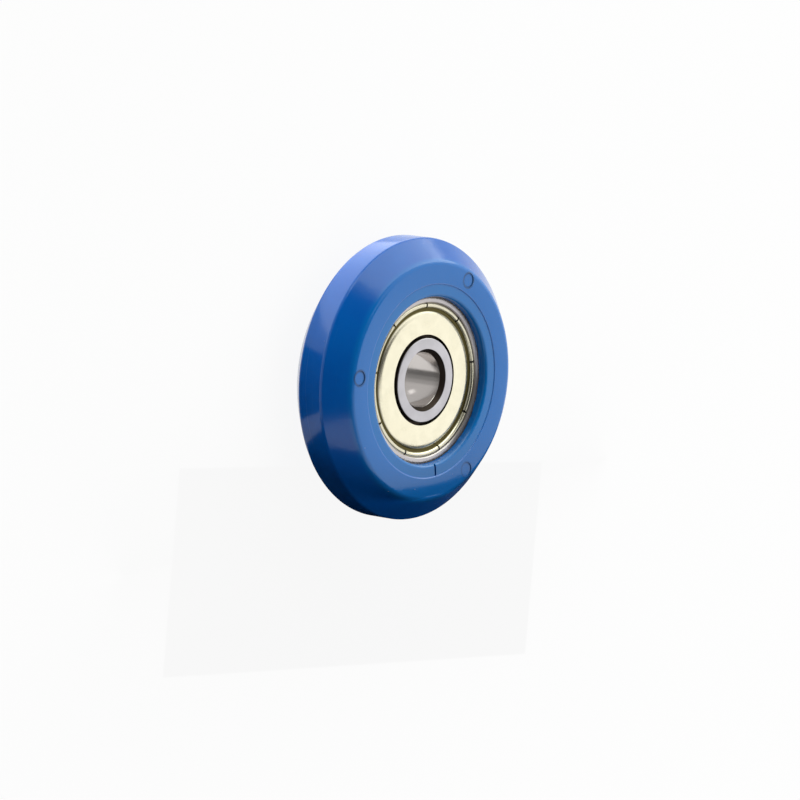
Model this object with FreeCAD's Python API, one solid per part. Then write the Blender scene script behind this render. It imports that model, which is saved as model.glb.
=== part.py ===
import FreeCAD, Part

# V groove wheel: a one-piece moulded plastic tyre with a flat tread and two 45 degree flanks,
# moulded round a shielded deep groove ball bearing. The axle bore is in the bearing's inner
# ring. The wheel lies on its side face: the axle runs along Z, the origin is the wheel's
# centre, and the side with the mould's pin marks is up. Lengths are in millimetres.

import os
from math import atan2, cos, degrees, hypot, radians, sin, tan

# Moulded wheel
WHEEL_DIAMETER = 30.6
WHEEL_WIDTH = 8.0
TREAD_WIDTH = 3.1
FLANK_ANGLE = 45.0
TREAD_EDGE_RADIUS = 0.5
FACE_EDGE_RADIUS = 0.8
LIP_OVERLAP = 0.45
LIP_DRAFT = 5.0
LIP_EDGE_RADIUS = 0.4
RECESS_WALL = 0.95
RECESS_DEPTH = 0.1
RECESS_DRAFT = 20.0
PIN_MARK_DIAMETER = 1.6
PIN_MARK_DEPTH = 0.08
PIN_MARK_EDGE_GAP = 0.15
PIN_MARK_ANGLES = (59.0, 170.5, 298.0)
NICK_WIDTH = 0.25
NICK_DEPTH = 0.2
NICK_ANGLE = 273.0

# Bearing rings
BORE_DIAMETER = 6.0
BEARING_DIAMETER = 19.0
BEARING_WIDTH = 6.0
BORE_CHAMFER_WIDTH = 0.4
BORE_CHAMFER_DEPTH = 0.6
RING_CORNER_RADIUS = 0.3
RACEWAY_CONFORMITY = 0.517
RACEWAY_SHOULDER = 0.56
NOSE_WALL = 1.6
NOSE_LENGTH = 0.8
NOSE_EDGE_RADIUS = 0.15
SEAT_WALL = 1.1
SEAT_MOUTH_CHAMFER = 0.1
SEAT_DEPTH = 0.58
UNDERCUT_DEPTH = 0.25
UNDERCUT_TOP = 0.22
UNDERCUT_FLOOR = 0.4

# Balls
BALL_DIAMETER = 3.5
BALL_COUNT = 6
BALL_GAP = 0.012

# Pressed shields
SHIELD_SHEET = 0.2
SHIELD_BEND = 0.15
SHIELD_INSET = 0.165
SHIELD_BORE_GAP = 0.33
SHIELD_SHOULDER_SLOPE = 0.5
SHIELD_SHOULDER_BEND = 1.0
SHIELD_CHANNEL_WIDTH = 0.38
SHIELD_RIM_SLOPE = 0.1
SHIELD_RIM_WIDTH = 0.2
SHIELD_RIM_SETBACK = 0.22
SHIELD_RIM_INSET = 0.07
SHIELD_HEM_GAP = 0.06
SHIELD_SLIT_COUNT = 9
SHIELD_SLIT_WIDTH = 0.22
SHIELD_SLIT_ANGLE = 6.5

# Pressed ribbon cage
CAGE_SHEET = 0.25
CAGE_BAND_WIDTH = 1.45
CAGE_POCKET_GAP = 0.08
CAGE_BEND = 0.15
CAGE_TAB_WIDTH = 1.0
CAGE_TAB_FOOT = 0.5
CAGE_TAB_BEND = 0.1

# Sizes that follow from the ones above
tread_radius = WHEEL_DIAMETER / 2
face_height = WHEEL_WIDTH / 2
tread_height = TREAD_WIDTH / 2
face_radius = tread_radius - (face_height - tread_height) * tan(radians(FLANK_ANGLE))
recess_height = face_height - RECESS_DEPTH
recess_radius = BEARING_DIAMETER / 2 + RECESS_WALL
recess_mouth_radius = recess_radius + RECESS_DEPTH * tan(radians(RECESS_DRAFT))
ring_radius = BEARING_DIAMETER / 2
ring_height = BEARING_WIDTH / 2
bore_radius = BORE_DIAMETER / 2
lip_radius = ring_radius - LIP_OVERLAP
lip_top_radius = lip_radius + (recess_height - ring_height) * tan(radians(LIP_DRAFT))
ball_radius = BALL_DIAMETER / 2
pitch_radius = (bore_radius + ring_radius) / 2
ball_step = 360.0 / BALL_COUNT
raceway_radius = RACEWAY_CONFORMITY * BALL_DIAMETER
inner_raceway = pitch_radius - ball_radius - BALL_GAP
outer_raceway = pitch_radius + ball_radius + BALL_GAP
inner_land = inner_raceway + RACEWAY_SHOULDER
outer_land = outer_raceway - RACEWAY_SHOULDER
nose_radius = bore_radius + NOSE_WALL
seat_radius = ring_radius - SEAT_WALL
shelf_height = ring_height - SEAT_DEPTH


def unit(a, b):
    """Unit vector from point a to point b, and their distance."""
    length = hypot(b[0] - a[0], b[1] - a[1])
    return (b[0] - a[0]) / length, (b[1] - a[1]) / length, length


def at(radius, height, angle=0.0):
    """Point at a radius and height, turned about the axle by an angle in degrees."""
    turn = radians(angle)
    return FreeCAD.Vector(radius * cos(turn), radius * sin(turn), height)


def outline(corners):
    """Closed face in the XZ plane from (radius, height, corner radius), with tangent arcs."""
    edges = []
    stops = []
    for i, (r, z, bend) in enumerate(corners):
        back = unit((r, z), corners[i - 1])
        ahead = unit((r, z), corners[(i + 1) % len(corners)])
        if bend == 0:
            stops.append((at(r, z), None, at(r, z)))
            continue
        half = abs(atan2(back[0] * ahead[1] - back[1] * ahead[0],
                         back[0] * ahead[0] + back[1] * ahead[1])) / 2
        run = bend / tan(half)
        middle = unit((0, 0), (back[0] + ahead[0], back[1] + ahead[1]))
        sag = bend / sin(half) - bend
        stops.append((at(r + back[0] * run, z + back[1] * run),
                      at(r + middle[0] * sag, z + middle[1] * sag),
                      at(r + ahead[0] * run, z + ahead[1] * run)))
    for i, (start, mid, end) in enumerate(stops):
        before = stops[i - 1][2]
        if (start - before).Length > 1e-6:
            edges.append(Part.makeLine(before, start))
        if mid is not None:
            edges.append(Part.Arc(start, mid, end).toShape())
    return Part.Face(Part.Wire(edges))


def turned(corners, sweep=360.0, start=0.0):
    """Solid turned about the axle from an outline."""
    solid = outline(corners).revolve(FreeCAD.Vector(0, 0, 0), FreeCAD.Vector(0, 0, 1), sweep)
    solid.rotate(FreeCAD.Vector(0, 0, 0), FreeCAD.Vector(0, 0, 1), start)
    return solid


def both_sides(corners):
    """The upper side's corners, then the same corners mirrored for the lower side."""
    return corners + [(r, -z, bend) for r, z, bend in reversed(corners)]


def sheet_corners(path, thickness):
    """Corners of a sheet of even thickness along a centre line of (radius, height, bend)."""
    left = []
    right = []
    last = len(path) - 1
    for i, (r, z, bend) in enumerate(path):
        into = unit(path[max(i - 1, 0)], path[max(i, 1)])
        out = unit(path[min(i, last - 1)], path[min(i + 1, last)])
        turn = atan2(into[0] * out[1] - into[1] * out[0], into[0] * out[0] + into[1] * out[1])
        normal = unit((0, 0), (-into[1] - out[1], into[0] + out[0]))
        reach = thickness / 2 / cos(turn / 2)
        side = thickness / 2 if turn > 0 else -thickness / 2
        left.append((r + normal[0] * reach, z + normal[1] * reach, bend - side if bend else 0))
        right.append((r - normal[0] * reach, z - normal[1] * reach, bend + side if bend else 0))
    return left + right[::-1]


def moulded_wheel():
    """Plastic tyre with its flanks, hub recesses and lips, moulded round the outer ring."""
    wheel = turned(both_sides([
        (ring_radius, ring_height, RING_CORNER_RADIUS),
        (lip_radius, ring_height, 0),
        (lip_top_radius, recess_height, LIP_EDGE_RADIUS),
        (recess_radius, recess_height, 0),
        (recess_mouth_radius, face_height, 0),
        (face_radius, face_height, FACE_EDGE_RADIUS),
        (tread_radius, tread_height, TREAD_EDGE_RADIUS)]))
    mark_radius = face_radius - PIN_MARK_EDGE_GAP - PIN_MARK_DIAMETER / 2
    marks = [Part.makeCylinder(PIN_MARK_DIAMETER / 2, 2 * PIN_MARK_DEPTH,
                               at(mark_radius, face_height - PIN_MARK_DEPTH, angle))
             for angle in PIN_MARK_ANGLES]
    nick = Part.makeBox(recess_radius - lip_radius, NICK_WIDTH, 2 * NICK_DEPTH,
                        FreeCAD.Vector(lip_radius, -NICK_WIDTH / 2, recess_height - NICK_DEPTH))
    nick.rotate(FreeCAD.Vector(0, 0, 0), FreeCAD.Vector(0, 0, 1), NICK_ANGLE)
    return wheel.cut(marks + [nick])


def raceway(bottom_radius, side):
    """Torus that grinds a raceway whose deepest point is at bottom_radius."""
    return Part.makeTorus(bottom_radius - side * raceway_radius, raceway_radius)


def outer_ring():
    """Outer ring with its raceway and, at each side, the undercut seat of a shield."""
    undercut_radius = seat_radius + UNDERCUT_DEPTH
    ring = turned(both_sides([
        (outer_land, shelf_height, 0),
        (undercut_radius, shelf_height, 0),
        (undercut_radius, ring_height - UNDERCUT_FLOOR, 0),
        (seat_radius, ring_height - UNDERCUT_TOP, 0),
        (seat_radius, ring_height - SEAT_MOUTH_CHAMFER, 0),
        (seat_radius + SEAT_MOUTH_CHAMFER, ring_height, 0),
        (ring_radius, ring_height, RING_CORNER_RADIUS)]))
    return ring.cut(raceway(outer_raceway, 1))


def inner_ring():
    """Inner ring with the axle bore, its raceway, and a narrow nose inside each shield."""
    ring = turned(both_sides([
        (bore_radius, ring_height - BORE_CHAMFER_DEPTH, 0),
        (bore_radius + BORE_CHAMFER_WIDTH, ring_height, 0),
        (nose_radius, ring_height, NOSE_EDGE_RADIUS),
        (nose_radius, ring_height - NOSE_LENGTH, 0),
        (inner_land, ring_height - NOSE_LENGTH, 0)]))
    return ring.cut(raceway(inner_raceway, -1))


def shield():
    """Pressed steel shield: a flat disc, a channel, and a slit rim clinched in its seat."""
    disc_height = ring_height - SHIELD_INSET - SHIELD_SHEET / 2
    rim_height = ring_height - SHIELD_RIM_INSET - SHIELD_SHEET / 2
    channel_height = shelf_height + SHIELD_SHEET / 2
    hem_radius = seat_radius + UNDERCUT_DEPTH - SHIELD_HEM_GAP - SHIELD_SHEET / 2
    rim_outer = seat_radius - SHIELD_RIM_SETBACK
    rim_inner = rim_outer - SHIELD_RIM_WIDTH
    channel_outer = rim_inner - SHIELD_RIM_SLOPE
    channel_inner = channel_outer - SHIELD_CHANNEL_WIDTH
    shoulder = channel_inner - SHIELD_SHOULDER_SLOPE
    disc = turned(sheet_corners([
        (nose_radius + SHIELD_BORE_GAP, disc_height, 0),
        (shoulder, disc_height, SHIELD_SHOULDER_BEND),
        (channel_inner, channel_height, SHIELD_BEND),
        (channel_outer, channel_height, SHIELD_BEND),
        (rim_inner, rim_height, SHIELD_BEND),
        (rim_outer, rim_height, SHIELD_BEND),
        (hem_radius, channel_height, 0)], SHIELD_SHEET))
    slits = []
    for i in range(SHIELD_SLIT_COUNT):
        slit = Part.makeBox(ring_radius - channel_outer, SHIELD_SLIT_WIDTH, ring_height,
                            FreeCAD.Vector(channel_outer, -SHIELD_SLIT_WIDTH / 2, 0))
        slit.rotate(FreeCAD.Vector(0, 0, 0), FreeCAD.Vector(0, 0, 1),
                    SHIELD_SLIT_ANGLE + i * 360.0 / SHIELD_SLIT_COUNT)
        slits.append(slit)
    return disc.cut(slits)


def flipped(shape):
    """The same piece turned over, for the other side."""
    return shape.rotated(FreeCAD.Vector(0, 0, 0), FreeCAD.Vector(1, 0, 0), 180)


def ball_centres(height=0.0):
    """Centre of each ball, the first on the X axis."""
    return [at(pitch_radius, height, i * ball_step) for i in range(BALL_COUNT)]


def cage_half():
    """Upper pressed half of the ribbon cage: a flat band with a domed pocket over each ball."""
    pocket_radius = ball_radius + CAGE_POCKET_GAP
    dome_radius = pocket_radius + CAGE_SHEET
    plate = Part.makeCylinder(ring_radius, CAGE_SHEET)
    domes = [Part.makeSphere(dome_radius, centre) for centre in ball_centres()]
    blank = plate.fuse(domes).common(Part.makeCylinder(ring_radius, ring_height))
    feet = [edge for edge in blank.Edges
            if abs(edge.CenterOfMass.z - CAGE_SHEET) < 1e-6 and edge.Length < 4 * ring_radius]
    blank = blank.makeFillet(CAGE_BEND, feet)
    inner = pitch_radius - CAGE_BAND_WIDTH / 2
    outer = pitch_radius + CAGE_BAND_WIDTH / 2
    band = Part.makeCylinder(outer, ring_height).cut(Part.makeCylinder(inner, ring_height))
    pockets = [Part.makeSphere(pocket_radius, centre) for centre in ball_centres()]
    return blank.common(band).cut(pockets)


def cage_tabs():
    """Tabs between the pockets, folded round the outer edge and under the lower half."""
    edge = pitch_radius + CAGE_BAND_WIDTH / 2
    reach = edge + CAGE_SHEET
    sweep = 2 * degrees(atan2(CAGE_TAB_WIDTH / 2, edge))
    corners = [
        (edge - CAGE_TAB_FOOT, 0, 0),
        (edge, 0, 0),
        (edge, -CAGE_SHEET, 0),
        (edge - CAGE_TAB_FOOT, -CAGE_SHEET, 0),
        (edge - CAGE_TAB_FOOT, -2 * CAGE_SHEET, 0),
        (reach, -2 * CAGE_SHEET, CAGE_TAB_BEND),
        (reach, CAGE_SHEET, CAGE_TAB_BEND),
        (edge - CAGE_TAB_FOOT, CAGE_SHEET, 0)]
    return [turned(corners, sweep, (i + 0.5) * ball_step - sweep / 2) for i in range(BALL_COUNT)]


def main():
    os.makedirs("parts", exist_ok=True)
    pieces = {
        "moulded_wheel": moulded_wheel(),
        "outer_ring": outer_ring(),
        "inner_ring": inner_ring(),
        "front_shield": shield(),
        "back_shield": flipped(shield()),
        "cage_front_half": cage_half().fuse(cage_tabs()).removeSplitter(),
        "cage_back_half": flipped(cage_half()),
    }
    for i, centre in enumerate(ball_centres()):
        pieces[f"ball_{i + 1}"] = Part.makeSphere(ball_radius, centre)
    for name, shape in pieces.items():
        shape.exportStep(f"parts/{name}.step")
        print(name, "valid" if shape.isValid() else "NOT VALID", len(shape.Solids), "solid",
              round(shape.Volume, 3), "mm3")


main()
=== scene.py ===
import math

import bmesh
import bpy
from mathutils import Matrix, Vector, noise


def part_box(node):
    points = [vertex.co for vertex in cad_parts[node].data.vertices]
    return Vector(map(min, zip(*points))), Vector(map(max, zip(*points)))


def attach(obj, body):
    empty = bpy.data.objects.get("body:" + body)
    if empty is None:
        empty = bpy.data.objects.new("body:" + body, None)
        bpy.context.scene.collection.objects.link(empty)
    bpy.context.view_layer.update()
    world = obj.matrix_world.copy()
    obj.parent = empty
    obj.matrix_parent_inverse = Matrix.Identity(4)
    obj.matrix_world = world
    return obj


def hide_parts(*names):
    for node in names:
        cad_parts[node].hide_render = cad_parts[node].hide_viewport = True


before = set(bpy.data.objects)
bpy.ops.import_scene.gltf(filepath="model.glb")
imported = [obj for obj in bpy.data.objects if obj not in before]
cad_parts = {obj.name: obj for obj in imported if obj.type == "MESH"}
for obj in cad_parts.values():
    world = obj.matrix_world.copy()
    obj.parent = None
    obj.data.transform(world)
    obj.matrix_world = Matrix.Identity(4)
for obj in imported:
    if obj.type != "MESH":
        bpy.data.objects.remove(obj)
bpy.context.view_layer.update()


# Inner ring
# A hardened steel ring, turned and then ground. Its bore takes the axle, its raceway carries
# the balls, and a nose at each end runs inside the hole of a shield.

MM = 0.001
ring_half_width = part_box("inner_ring")[1].z / MM
inner_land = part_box("inner_ring")[1].x / MM
bore_radius = 3.0
chamfer_width = 0.4
chamfer_depth = 0.6
nose_wall = 1.6
nose_radius = bore_radius + nose_wall
nose_edge = 0.15
nose_length = 0.8
dark_paint_edge = 0.04

# A raceway is drawn as a pointed groove, and its point is then rounded. The rounding is a hair
# smaller than the raceway's own curve, so that it ends within the sides of the groove.
raceway_curve = 1.81
raceway_depth = 0.56
raceway_half = math.sqrt(raceway_curve ** 2 - (raceway_curve - raceway_depth) ** 2)
raceway_apex = raceway_half ** 2 / (raceway_curve - raceway_depth)
raceway_rounding = raceway_curve * 0.998


class Signal:
    """One output in a material's node tree. Arithmetic on it adds Math nodes."""

    def __init__(self, tree, socket):
        self.tree = tree
        self.socket = socket

    def node(self, kind, settings, inputs, output=0):
        """Adds a node: first its settings, then a value or a signal for each socket."""
        made = self.tree.nodes.new(kind)
        for name, value in settings.items():
            setattr(made, name, value)
        for name, value in inputs.items():
            if isinstance(value, Signal):
                self.tree.links.new(value.socket, made.inputs[name])
            else:
                made.inputs[name].default_value = value
        return Signal(self.tree, made.outputs[output])

    def math(self, operation, *others):
        """A Math node on this signal and any others."""
        return self.node("ShaderNodeMath", {"operation": operation},
                         dict(enumerate((self, *others))))

    def __add__(self, other):
        return self.math("ADD", other)

    def __sub__(self, other):
        return self.math("SUBTRACT", other)

    def __mul__(self, other):
        return self.math("MULTIPLY", other)

    def __rsub__(self, other):
        return self * -1 + other

    __radd__ = __add__
    __rmul__ = __mul__

    def step(self, low, high):
        """0 at low and 1 at high, with a soft change between them. Low may be the larger."""
        return self.node("ShaderNodeMapRange", {"interpolation_type": "SMOOTHSTEP"},
                         {"Value": self, "From Min": low, "From Max": high})

    def mix(self, low, high):
        """The colour low where the signal is 0 and the colour high where it is 1."""
        return self.node("ShaderNodeMix", {"data_type": "RGBA"},
                         {0: self, 6: low, 7: high}, output=2)

    def noise(self, scale, detail=2.0, roughness=0.5):
        """Soft noise from 0 to 1 along a vector signal, with scale cells to the mm."""
        return self.node("ShaderNodeTexNoise", {},
                         {"Vector": self, "Scale": scale, "Detail": detail,
                          "Roughness": roughness})


class Finish:
    """A material, with the object's coordinates in mm and the radius from the axle."""

    def __init__(self, name, **constants):
        self.material = bpy.data.materials.new(name)
        self.material.use_nodes = True
        tree = self.material.node_tree
        self.shader = tree.nodes["Principled BSDF"]
        for socket, value in constants.items():
            self.shader.inputs[socket.replace("_", " ")].default_value = value
        metres = Signal(tree, tree.nodes.new("ShaderNodeTexCoord").outputs["Object"])
        self.place = metres.node("ShaderNodeVectorMath", {"operation": "SCALE"},
                                 {0: metres, "Scale": 1 / MM})
        self.x, self.y, self.height = (
            self.place.node("ShaderNodeSeparateXYZ", {}, {0: self.place}, output)
            for output in range(3))
        self.radius = (self.x * self.x + self.y * self.y).math("SQRT")

    def vector(self, x, y, z):
        """A vector signal from three signals or numbers."""
        return self.place.node("ShaderNodeCombineXYZ", {}, {0: x, 1: y, 2: z})

    def lathe_lines(self, fineness, drift):
        """Noise drawn out round the axle, with fineness lines to the mm, as a tool leaves it."""
        return self.vector(self.radius * fineness + self.x * drift,
                           self.height * fineness + self.y * drift, 0.0).noise(1.0, 3.0, 0.6)

    def link(self, **signals):
        """Links a signal to each named socket of the shader."""
        for socket, signal in signals.items():
            signal.tree.links.new(signal.socket, self.shader.inputs[socket.replace("_", " ")])

    def bump(self, height, micrometres):
        """Raises the surface by so many micrometres for each unit of the signal."""
        self.link(Normal=height.node("ShaderNodeBump", {},
                                     {"Distance": micrometres * MM * MM, "Height": height}))


def mirrored(corners):
    """The corners of the other side, in the order that goes on round a section."""
    return [(radius, -height, rounding) for radius, height, rounding in reversed(corners)]


def section(corners, segments=6, is_path=False):
    """A flat section, from (radius, height, rounding) in mm: closed, or an open path.

    Two spare corners close an open path while its own are rounded, and are then taken away.
    """
    bm = bmesh.new()
    spare = [(corners[-1][0], 0, 0), (corners[0][0], 0, 0)] if is_path else []
    points = [bm.verts.new((r * MM, 0, z * MM)) for r, z, _ in corners + spare]
    bm.faces.new(points)
    places = [point.co.copy() for point in points]
    for number, (_, _, rounding) in enumerate(corners):
        if rounding:
            back = places[number - 1] - places[number]
            ahead = places[(number + 1) % len(places)] - places[number]
            reach = rounding * MM / math.tan(back.angle(ahead) / 2)
            bmesh.ops.bevel(bm, geom=[points[number]], offset=reach, offset_type="OFFSET",
                            segments=segments, profile=0.5, affect="VERTICES", material=-1)
    bmesh.ops.delete(bm, geom=bm.faces[:], context="FACES_ONLY")
    bmesh.ops.delete(bm, geom=points[len(corners):], context="VERTS")
    return bm


def turn(bm, steps):
    """Spins a section into a full turn about the axle, with its faces outwards."""
    bmesh.ops.spin(bm, geom=bm.verts[:] + bm.edges[:], cent=(0, 0, 0), axis=(0, 0, 1),
                   angle=2 * math.pi, steps=steps, use_merge=True)
    bmesh.ops.remove_doubles(bm, verts=bm.verts[:], dist=1e-8)
    bmesh.ops.recalc_face_normals(bm, faces=bm.faces[:])
    return bm


def make_piece(name, bm):
    """An object at the origin from a finished mesh."""
    mesh = bpy.data.meshes.new(name)
    bm.to_mesh(mesh)
    bm.free()
    piece = bpy.data.objects.new(name, mesh)
    bpy.context.scene.collection.objects.link(piece)
    return piece


def settle(piece):
    """Applies a piece's modifiers to its mesh."""
    shown = piece.evaluated_get(bpy.context.evaluated_depsgraph_get())
    piece.data = bpy.data.meshes.new_from_object(shown)
    piece.modifiers.clear()


def fit(piece, finish, body, node):
    """Smooths a piece between its sharp edges, paints it and puts it in its node's place."""
    sharp_edge = math.radians(32)
    piece.data.materials.clear()
    piece.data.materials.append(finish.material)
    piece.data.shade_smooth()
    piece.data.set_sharp_from_angle(angle=sharp_edge)
    even = piece.modifiers.new("even_shading", "WEIGHTED_NORMAL")
    even.keep_sharp = True
    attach(piece, body)
    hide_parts(node)


def ground_steel():
    """Hardened steel: end faces with fine grinding lines and faint stains, and a bright honed
    bore. Dark paint on the bore's chamfers, and painted shade on all behind the noses' edges."""
    steel = Finish("ground_steel", Metallic=1.0)
    lines = steel.lathe_lines(34.0, 0.5)
    patches = steel.place.noise(0.55, 3.0, 0.6)
    stain = steel.place.noise(5.0, 4.0, 0.7).step(0.66, 0.74)
    face_inner = bore_radius + chamfer_width
    # Dark paint on the bore's chamfers.
    chamfer = (steel.radius.step(bore_radius, bore_radius + dark_paint_edge)
               * steel.radius.step(face_inner, face_inner - dark_paint_edge))
    below_face = steel.height.math("ABSOLUTE").step(ring_half_width - 0.02,
                                                    ring_half_width - 0.06)
    # Painted shade: all behind the noses' edges, down in the gap between the rings, is painted
    # dark.
    shade_behind_nose = below_face * steel.radius.step(nose_radius - 0.13, nose_radius - 0.07)
    # scale holds both the dark chamfers and the painted shade behind the noses.
    scale = chamfer.math("MAXIMUM", shade_behind_nose)
    bore = steel.radius.step(bore_radius + dark_paint_edge, bore_radius + 0.01)
    ground = (patches.step(0.3, 0.7) * 0.6 + stain * 0.4).mix((0.475, 0.464, 0.484, 1),
                                                             (0.4, 0.39, 0.408, 1))
    honed = bore.mix(ground, (0.6, 0.565, 0.54, 1))
    steel.link(Base_Color=scale.mix(honed, (0.05, 0.038, 0.03, 1)),
               Roughness=(0.25 + lines * 0.1 + patches * 0.08 - stain * 0.05 + scale * 0.2
                          - bore * 0.2))
    steel.bump(lines + 0.25 * patches, 1.2)
    return steel


inner_side = [
    (bore_radius, ring_half_width - chamfer_depth, 0),
    (bore_radius + chamfer_width, ring_half_width, 0),
    (nose_radius, ring_half_width, nose_edge),
    (nose_radius, ring_half_width - nose_length, 0),
    (inner_land, ring_half_width - nose_length, 0),
    (inner_land, raceway_half, 0)]
inner_ring = make_piece("inner_race_ring", turn(section(
    inner_side + [(inner_land - raceway_apex, 0, raceway_rounding)] + mirrored(inner_side)),
    steps=192))
fit(inner_ring, ground_steel(), "inner_race", "inner_ring")


# Balls and cage
# Six hardened balls, lapped to a mirror, in a cage of two pressed steel ribbons. The tabs of
# one ribbon are folded round the other. Both run in a film of grease behind the shields.

ball_nodes = [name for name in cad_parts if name.startswith("ball_")]

lapped = Finish("lapped_balls", Metallic=1.0)
film = lapped.place.noise(1.4, 3.0, 0.6)
lapped.link(Base_Color=film.step(0.35, 0.75).mix((0.72, 0.72, 0.73, 1), (0.6, 0.56, 0.46, 1)),
            Roughness=0.06 + film * 0.12)
lapped.bump(film, 0.4)

ribbon = Finish("pressed_ribbon", Metallic=1.0)
pressing = ribbon.place.noise(6.0, 4.0, 0.65)
ribbon.link(Base_Color=pressing.step(0.3, 0.7).mix((0.5, 0.48, 0.45, 1), (0.36, 0.34, 0.3, 1)),
            Roughness=0.3 + pressing * 0.25)
ribbon.bump(pressing, 4.0)

for nodes, finish in ((ball_nodes, lapped), (("cage_front_half", "cage_back_half"), ribbon)):
    for name in nodes:
        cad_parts[name].data.materials.clear()
        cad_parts[name].data.materials.append(finish.material)


# Outer ring
# The same steel as the inner ring. The plastic is moulded round it and over the rims of its
# end faces, so only a narrow band of each face shows between the plastic and the shield.

outer_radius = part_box("outer_ring")[1].x / MM
land_depth = 2.048
outer_land = outer_radius - land_depth
seat_depth = 1.1
seat_radius = outer_radius - seat_depth
seat_chamfer = 0.1
shelf_depth = 0.58
seat_shelf = ring_half_width - shelf_depth
undercut_radius = seat_radius + 0.25
undercut_top = ring_half_width - 0.22
undercut_floor = ring_half_width - 0.4
ring_corner = 0.3
speck_start = outer_radius - 0.82
speck_full = outer_radius - 0.55

outer_side = [
    (outer_land, raceway_half, 0),
    (outer_land, seat_shelf, 0),
    (undercut_radius, seat_shelf, 0),
    (undercut_radius, undercut_floor, 0),
    (seat_radius, undercut_top, 0),
    (seat_radius, ring_half_width - seat_chamfer, 0),
    (seat_radius + seat_chamfer, ring_half_width, 0),
    (outer_radius, ring_half_width, ring_corner)]
outer_ring = make_piece("outer_race_ring", turn(section(
    [(outer_land + raceway_apex, 0, raceway_rounding)] + outer_side + mirrored(outer_side)),
    steps=256))

band_steel = Finish("ground_steel_band", Metallic=1.0)
band_lines = band_steel.lathe_lines(26.0, 0.6)
band_grime = band_steel.place.noise(7.0, 4.0, 0.7)
flash_specks = band_steel.radius.step(speck_start, speck_full) * 0.3 + band_grime
# One side of the band, between +X and -Y, is painted darker as shade.
painted_shade_side = (band_steel.x * 0.85 - band_steel.y * 0.53).step(6.7, 8.3)
band_mask = flash_specks.step(0.62, 0.8).math("MAXIMUM", painted_shade_side * 0.75)
band_steel.link(Base_Color=band_mask.mix((0.56, 0.525, 0.52, 1), (0.1, 0.085, 0.075, 1)),
                Roughness=0.3 + band_lines * 0.1 + band_mask * 0.2,
                Metallic=0.6 - band_mask * 0.1)
band_steel.bump(band_lines * 0.4 + band_mask, 6.0)
fit(outer_ring, band_steel, "wheel", "outer_ring")


# Shields
# Two discs pressed from thin steel sheet with a pale straw plating. Each has a channel near
# its edge and a slit rim, which is clinched into the undercut of the outer ring's seat.

sheet = 0.2
bend = 0.15
shoulder_bend = 1.0
nose_gap = 0.33
disc_inset = 0.165
disc_height = ring_half_width - disc_inset - sheet / 2
channel_height = seat_shelf + sheet / 2
rim_inset = 0.07
rim_height = ring_half_width - rim_inset - sheet / 2
rim_gap = 0.22
rim_outer = seat_radius - rim_gap
rim_width = 0.2
rim_inner = rim_outer - rim_width
channel_outer = rim_inner - 0.1
channel_width = 0.38
channel_inner = channel_outer - channel_width
shoulder_width = 0.38
shoulder = channel_inner - shoulder_width
hem_gap = 0.06
hem_radius = undercut_radius - hem_gap - sheet / 2
slit_count = 9
slit_width = 0.22
slit_start = 6.5


def pressed_shield(name, side):
    """One shield on the side given by 1 or -1: spun, slit and then given its thickness."""
    bm = turn(section([
        (nose_radius + nose_gap, disc_height, 0),
        (shoulder, disc_height, shoulder_bend),
        (channel_inner, channel_height, bend),
        (channel_outer, channel_height, bend),
        (rim_inner, rim_height, bend),
        (rim_outer, rim_height, bend),
        (hem_radius, channel_height, 0)], segments=5, is_path=True), steps=270)
    slit_foot = channel_outer * MM
    for number in range(slit_count):
        angle = math.radians(slit_start + number * 360 / slit_count)
        along = Vector((math.cos(angle), math.sin(angle), 0))
        across = Vector((-math.sin(angle), math.cos(angle), 0))
        for edge in (-1, 1):
            near = [face for face in bm.faces
                    if face.calc_center_median().dot(along) > slit_foot * 0.99]
            rim = list(dict.fromkeys(part for face in near
                                     for part in (*face.verts, *face.edges, face)))
            bmesh.ops.bisect_plane(bm, geom=rim, dist=1e-9, plane_no=across,
                                   plane_co=across * edge * slit_width / 2 * MM)
        slit = [face for face in bm.faces
                if abs(face.calc_center_median().dot(across)) < slit_width / 2 * MM
                and face.calc_center_median().dot(along) > slit_foot]
        bmesh.ops.delete(bm, geom=slit, context="FACES")
    if side < 0:
        bmesh.ops.rotate(bm, verts=bm.verts[:], cent=(0, 0, 0),
                         matrix=Matrix.Rotation(math.pi, 3, "X"))
    shield = make_piece(name, bm)
    gauge = shield.modifiers.new("sheet", "SOLIDIFY")
    gauge.thickness = sheet * MM
    gauge.offset = 0
    gauge.use_even_offset = True
    settle(shield)
    return shield


def straw_plating():
    """Satin zinc with a pale straw tint: cloudy on the disc, with painted shade down in the
    channel, and a little darker on the rim than on the disc."""
    plating = Finish("straw_plating", Metallic=1.0)
    cloud = plating.place.noise(0.7, 3.0, 0.55)
    grain = plating.place.noise(22.0, 2.0, 0.6)
    rolled = plating.lathe_lines(14.0, 0.3)
    depth = plating.height.math("ABSOLUTE")
    # Painted shade: the channel and the slope down to it are painted dark olive, as if in
    # shadow.
    low = (depth.step(disc_height + 0.02, channel_height + sheet / 2 + 0.03)
           * plating.radius.step(shoulder + 0.08, channel_inner))
    rim = plating.radius.step(rim_inner - 0.1, rim_inner)
    clean = cloud.step(0.3, 0.75).mix((0.74, 0.7, 0.54, 1), (0.7, 0.66, 0.5, 1))
    coined = (rim * 0.4).mix(clean, (0.4, 0.375, 0.28, 1))
    plating.link(Base_Color=(low * 0.96).mix(coined, (0.055, 0.042, 0.001, 1)),
                 Roughness=0.19 + cloud * 0.08 + grain * 0.06 + low * 0.14)
    plating.bump(grain * 0.6 + rolled * 0.5 + cloud * 3.0, 1.6)
    return plating


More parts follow.
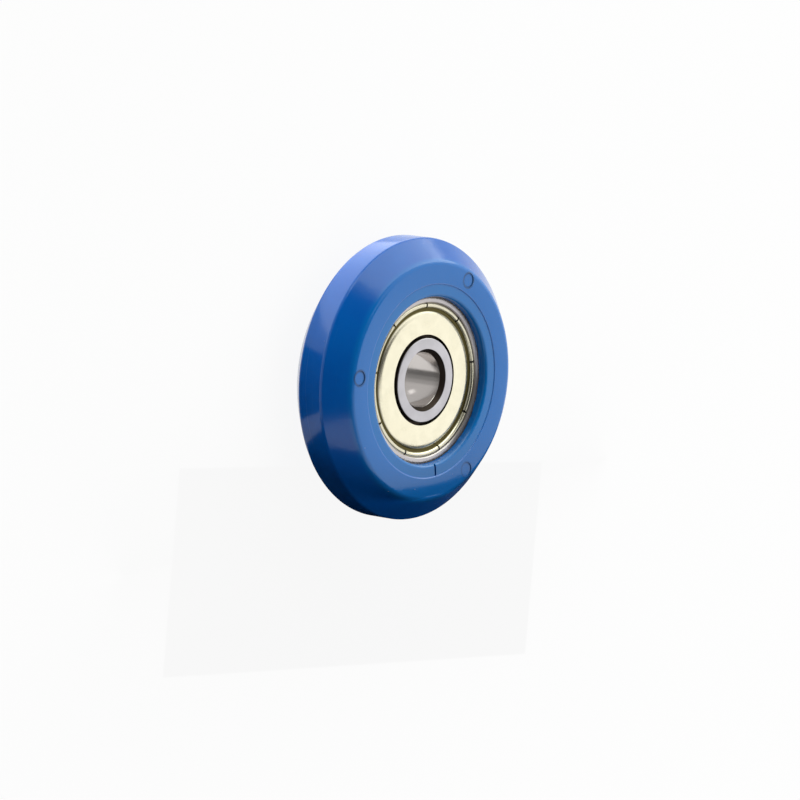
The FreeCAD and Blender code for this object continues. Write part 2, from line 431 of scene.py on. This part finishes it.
shield_plating = straw_plating()
for shield_name, shield_node, shield_side in (("front_pressed_shield", "front_shield", 1),
                                              ("back_pressed_shield", "back_shield", -1)):
    fit(pressed_shield(shield_name, shield_side), shield_plating, "wheel", shield_node)


# Moulded wheel
# One moulding in hard blue plastic, moulded round the bearing. It has a flat tread, two
# flanks, a shallow recess round the bearing on each side, and on one side three pin marks and
# the nick of the gate.

tread_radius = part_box("moulded_wheel")[1].x / MM
face_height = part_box("moulded_wheel")[1].z / MM
tread_half = 1.55
tread_edge = 0.5
face_radius = tread_radius - (face_height - tread_half)
face_edge = 0.8
recess_depth = 0.1
recess_height = face_height - recess_depth
recess_radius = outer_radius + 0.95
recess_edge = 0.14
recess_slope = math.tan(math.radians(20))
lip_radius = outer_radius - 0.45
lip_foot = 0.04
lip_slope = math.tan(math.radians(5))
lip_edge = 0.4
flash_reach = 0.12
flash_patches = 900
mark_radius = 0.8
mark_depth = 0.08
mark_draft = 0.02
mark_circle = face_radius - 0.15 - mark_radius
mark_angles = [math.radians(angle) for angle in (59.0, 170.5, 298.0)]
mark_ring_darkness = (0.75, 0.8, 0.4)
nick_angle = math.radians(273.0)
nick_width = 0.25
nick_depth = 0.2
nick_length = recess_radius - lip_radius

wheel_side = [
    (outer_radius, ring_half_width, ring_corner),
    (lip_radius, ring_half_width, 0),
    (lip_radius + lip_foot * lip_slope, ring_half_width + lip_foot, 0),
    (lip_radius + (recess_height - ring_half_width) * lip_slope, recess_height, lip_edge),
    (recess_radius, recess_height, 0),
    (recess_radius + recess_depth * recess_slope, face_height, recess_edge),
    (face_radius, face_height, face_edge),
    (tread_radius, tread_half, tread_edge)]
wheel_mesh = turn(section(wheel_side + mirrored(wheel_side), segments=8), steps=384)

# The thin edge of the lip creeps over the ring's face by an uneven amount, as flash does, and
# further toward +X and -X than toward +Y and -Y.
for vert in wheel_mesh.verts:
    reach = vert.co.xy.length / MM
    if abs(reach - lip_radius) < 0.01 and abs(abs(vert.co.z) - ring_half_width * MM) < 1e-7:
        aslant = (vert.co.x / vert.co.xy.length) ** 2
        creep = flash_reach * (aslant - 0.6 + 0.7 * noise.noise(vert.co * flash_patches))
        vert.co.xy *= (reach - creep) / reach
wheel = make_piece("blue_wheel", wheel_mesh)

cut = bmesh.new()
for angle in mark_angles:
    mark_place = (Matrix.Rotation(angle, 4, "Z")
                  @ Matrix.Translation((mark_circle * MM, 0, face_height * MM)))
    bmesh.ops.create_cone(cut, cap_ends=True, segments=56, depth=2 * mark_depth * MM,
                          radius1=(mark_radius - mark_draft) * MM,
                          radius2=(mark_radius + mark_draft) * MM, matrix=mark_place)
nick_place = (Matrix.Rotation(nick_angle, 4, "Z")
              @ Matrix.Translation(((lip_radius + nick_length / 2) * MM, 0,
                                    recess_height * MM)))
bmesh.ops.create_cube(cut, size=MM, matrix=nick_place @ Matrix.Diagonal(
    (nick_length, nick_width, 2 * nick_depth, 1)))
cutter = make_piece("mark_cutter", cut)
marks = wheel.modifiers.new("marks", "BOOLEAN")
marks.operation = "DIFFERENCE"
marks.solver = "EXACT"
marks.object = cutter
settle(wheel)
bpy.data.objects.remove(cutter)


def blue_plastic():
    """Semi-gloss blue plastic: flow shades, a fine skin, scuffs on the tread and flanks and a
    few specks. The side faces are painted paler as painted light, the pin marks have darker
    rings, the nick has painted shade, and the recess edge has a painted highlight."""
    blue = Finish("blue_plastic", IOR=1.46)
    flow = blue.place.noise(0.22, 3.0, 0.55)
    skin = blue.place.noise(2.6, 2.0, 0.5)
    fine = blue.place.noise(26.0, 2.0, 0.6)
    waves = blue.place.noise(0.42, 2.0, 0.5)
    specks = blue.place.noise(2.6, 1.0, 0.4).step(0.81, 0.83)
    running = blue.radius.step(face_radius + 0.05, face_radius + 0.75)
    scuffed = blue.lathe_lines(9.0, 0.22).step(0.62, 0.78) * running
    top = blue.height.step(face_height - 0.3, face_height - 0.05)
    # Painted light: the side faces are painted paler than the flanks, as if better lit.
    side = blue.height.math("ABSOLUTE").step(face_height - 0.6, face_height - 0.1)
    hub = blue.radius.step(recess_radius + 0.02, recess_radius - 0.1)
    # Painted highlight: a light line round the step at the edge of the recess.
    painted_step_highlight = (blue.radius.step(recess_radius - 0.03, recess_radius)
                 * blue.radius.step(recess_radius + 0.17, recess_radius + 0.1) * side)

    # Painted shade: the nick is painted dark inside. The pin marks get darker rings, stronger on
    # some.
    from_nick = (blue.x * -math.sin(nick_angle) + blue.y * math.cos(nick_angle)).math("ABSOLUTE")
    down = blue.y * -1
    nick_shade_and_rings = (from_nick.step(nick_width / 2 + 0.065, nick_width / 2 - 0.025)
            * down.step(lip_radius - 0.05, lip_radius + 0.25)
            * down.step(recess_radius - 0.05, recess_radius - 0.25))
    for angle, ring_darkness in zip(mark_angles, mark_ring_darkness):
        aside_x = blue.x - mark_circle * math.cos(angle)
        aside_y = blue.y - mark_circle * math.sin(angle)
        from_mark = (aside_x * aside_x + aside_y * aside_y).math("SQRT") - mark_radius
        ring = from_mark.math("ABSOLUTE").step(0.24, 0.04)
        nick_shade_and_rings = nick_shade_and_rings.math("MAXIMUM", ring * ring_darkness)
    nick_shade_and_rings_on_top = nick_shade_and_rings * top

    colour = flow.step(0.3, 0.7).mix((0.0, 0.1, 0.455, 1), (0.0, 0.114, 0.485, 1))
    for mask, tint in ((side, (0.001, 0.15, 0.515, 1)),
                       (hub * 0.4, (0.002, 0.18, 0.48, 1)),
                       (painted_step_highlight * 0.7, (0.07, 0.22, 0.6, 1)),
                       (nick_shade_and_rings_on_top * 0.8, (0.0, 0.03, 0.09, 1)),
                       (scuffed * 0.12, (0.12, 0.22, 0.5, 1)),
                       (specks * 0.6, (0.4, 0.5, 0.7, 1))):
        colour = mask.mix(colour, tint)
    blue.link(Base_Color=colour,
              Roughness=0.11 + flow * 0.06 + fine * 0.04 + scuffed * 0.16 + nick_shade_and_rings_on_top * 0.2)
    blue.bump(waves * 18.0 + skin * 1.6 + fine * 0.25 - scuffed * 0.8 + specks * 4.0, 1.4)
    return blue


fit(wheel, blue_plastic(), "wheel", "moulded_wheel")


# Studio
# The wheel lies on a white table. Two broad soft lamps stand beyond its upper edge and over
# its far side, and two small ones over its lower left and beside its edge. Dark boards deepen
# its reflections, and pale cards on the table under the bore are mirrored in the bore.

table_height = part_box("moulded_wheel")[0].z
table_radius = 3.0
table_mesh = bmesh.new()
bmesh.ops.create_circle(table_mesh, cap_ends=True, segments=96, radius=table_radius,
                        matrix=Matrix.Translation((0, 0, table_height)))
table = make_piece("white_table", table_mesh)

# The camera sees the table as plain white by this share, and for the rest as it is lit, with
# the wheel's shadow. Reflections show it as plain white.
white_share = 0.92
white = Finish("white_table", Roughness=0.7)
tone = white.place.noise(0.02, 2.0, 0.5)
white.link(Base_Color=tone.mix((0.88, 0.88, 0.88, 1), (0.91, 0.91, 0.91, 1)))
camera_ray, glossy_ray, transmission_ray = (
    white.place.node("ShaderNodeLightPath", {}, {}, output)
    for output in ("Is Camera Ray", "Is Glossy Ray", "Is Transmission Ray"))
plain_white = white.place.node("ShaderNodeEmission", {},
                               {"Color": (1, 1, 1, 1), "Strength": 1.0})
as_lit = Signal(white.place.tree, white.shader.outputs["BSDF"])
seen = white.place.node("ShaderNodeMixShader", {},
                        {0: camera_ray * white_share + glossy_ray + transmission_ray,
                         1: as_lit, 2: plain_white})
white.material.node_tree.links.new(
    seen.socket, white.material.node_tree.nodes["Material Output"].inputs["Surface"])
table.data.materials.append(white.material)


def facing(toward, distance):
    """The place and turn of something at a distance in a direction, facing the wheel."""
    direction = Vector(toward).normalized()
    return (Matrix.Translation(direction * distance)
            @ direction.to_track_quat("Z", "Y").to_matrix().to_4x4())


def lying(distance, angle):
    """The place and turn of something just clear of the table, at an angle round the axle,
    facing up."""
    clearance = 0.05 * MM
    return (Matrix.Rotation(math.radians(angle), 4, "Z")
            @ Matrix.Translation((distance, 0, table_height + clearance))
            @ Matrix.Rotation(math.pi, 4, "X"))


def standing(across, height):
    """The place and turn of something upright at the wheel's lower edge."""
    return Matrix.Translation((0, across, height)) @ Matrix.Rotation(math.pi / 2, 4, "X")


def lamp(name, place, width, height, power, colour=(1, 1, 1)):
    """A soft rectangular lamp, with its power in watts to the square metre."""
    light = bpy.data.lights.new(name, "AREA")
    light.shape = "RECTANGLE"
    light.size = width
    light.size_y = height
    light.energy = width * height * power
    light.color = colour
    stand = bpy.data.objects.new(name, light)
    stand.matrix_world = place
    stand.visible_camera = False
    bpy.context.scene.collection.objects.link(stand)


def board_finish(name, glow=0.0):
    """Matt black card. A glow makes it look grey, and a glow of 1 makes it look white."""
    finish = Finish(name, Roughness=0.9, Emission_Color=(1, 1, 1, 1), Emission_Strength=glow)
    finish.link(Base_Color=finish.place.noise(0.05).mix((0.01, 0.01, 0.012, 1),
                                                        (0.02, 0.02, 0.022, 1)))
    return finish


def board(name, finish, place, width, height, is_shade=False, casts_shadow=False):
    """A board that the camera doesn't see. It always shows in reflections. It keeps light from
    matt surfaces where is_shade is set, and the lamps' light where casts_shadow is set."""
    board_mesh = bmesh.new()
    bmesh.ops.create_grid(board_mesh, x_segments=1, y_segments=1, size=0.5)
    bmesh.ops.scale(board_mesh, vec=(width, height, 1), verts=board_mesh.verts[:])
    bmesh.ops.transform(board_mesh, verts=board_mesh.verts[:], matrix=place)
    made = make_piece(name, board_mesh)
    made.data.materials.append(finish.material)
    made.visible_camera = False
    made.visible_shadow = casts_shadow
    made.visible_diffuse = is_shade


lamp("upper_lamp", facing((0.4, 0.88, 0.36), 0.7), 1.3, 0.46, 7.5, (0.95, 1.0, 0.92))
lamp("far_lamp", facing((0.82, -0.1, 0.6), 0.7), 1.5, 1.4, 2.75)
lamp("left_lamp", facing((-0.49, -0.57, 0.655), 0.25), 0.11, 0.1, 2.0)
lamp("edge_lamp", lying(0.0227, 110), 0.0134, 0.044, 4.75)

black = board_finish("black_board")
board("camera_side_board", black, facing((-0.5, 0.25, 0.83), 0.3), 0.5, 0.3, is_shade=True)
board("overhead_board", black, Matrix.Translation((0.09, 0.0225, 0.3)), 0.24, 0.123)
board("lower_board", black, standing(-0.0156, 0.0032), 0.08, 0.0144, is_shade=True)
board("lower_shelf_board", black, standing(-0.0126, 0.0066), 0.08, 0.0046, is_shade=True,
      casts_shadow=True)
board("lower_left_board", black, facing((-0.45, -0.8, 0.23), 0.25), 0.3, 0.13, is_shade=True)
board("left_table_board", black, lying(0.0203, 176), 0.008, 0.011)
board("lower_table_board", black, lying(0.021, 262), 0.022, 0.06, is_shade=True)

# Five cards lie in a fan on the table under the bore, each a little above the last and
# brighter. The honed bore mirrors them as a change from dark to light. Sizes are in mm.
card_rise = 0.02 * MM
for number, (angle, start, length, width, glow) in enumerate((
        (118, -1.05, 6.0, 12.0, 0.17),
        (94, -0.45, 6.0, 12.0, 0.3),
        (77, 0.0, 6.0, 12.0, 0.46),
        (60, 0.43, 5.0, 10.0, 0.68),
        (52, 1.35, 0.7, 1.0, 1.35))):
    card_name = f"bore_card_{number}"
    card_place = (Matrix.Translation((0, 0, number * card_rise))
                  @ lying((start + length / 2) * MM, angle))
    board(card_name, board_finish(card_name, glow), card_place, length * MM, width * MM)

world = bpy.data.worlds.new("studio")
world.use_nodes = True
world.node_tree.nodes["Background"].inputs["Color"].default_value = (1, 1, 1, 1)
world.node_tree.nodes["Background"].inputs["Strength"].default_value = 0.5
bpy.context.scene.world = world
bpy.context.scene.view_settings.view_transform = "Standard"


# Camera
# A long lens, looking at the upper side from beside the wheel, and turned on its axis so
# that +Y of the wheel points up in the picture.

camera_azimuth = math.radians(256.32)
camera_elevation = math.radians(40.14)
camera_roll = math.radians(98.5)
wheel_in_view = Vector((0.451, 2.460, -538.48)) * MM
lens = bpy.data.cameras.new("camera")
lens.sensor_width = 36
lens.lens = 224.62
lens.clip_start = 0.01
lens.clip_end = 20
camera = bpy.data.objects.new("camera", lens)
turned = (Matrix.Rotation(camera_azimuth, 4, "Z")
          @ Matrix.Rotation(math.pi / 2 - camera_elevation, 4, "X")
          @ Matrix.Rotation(camera_roll, 4, "Z"))
camera.matrix_world = Matrix.Translation(-(turned @ wheel_in_view)) @ turned
bpy.context.scene.collection.objects.link(camera)
bpy.context.scene.camera = camera
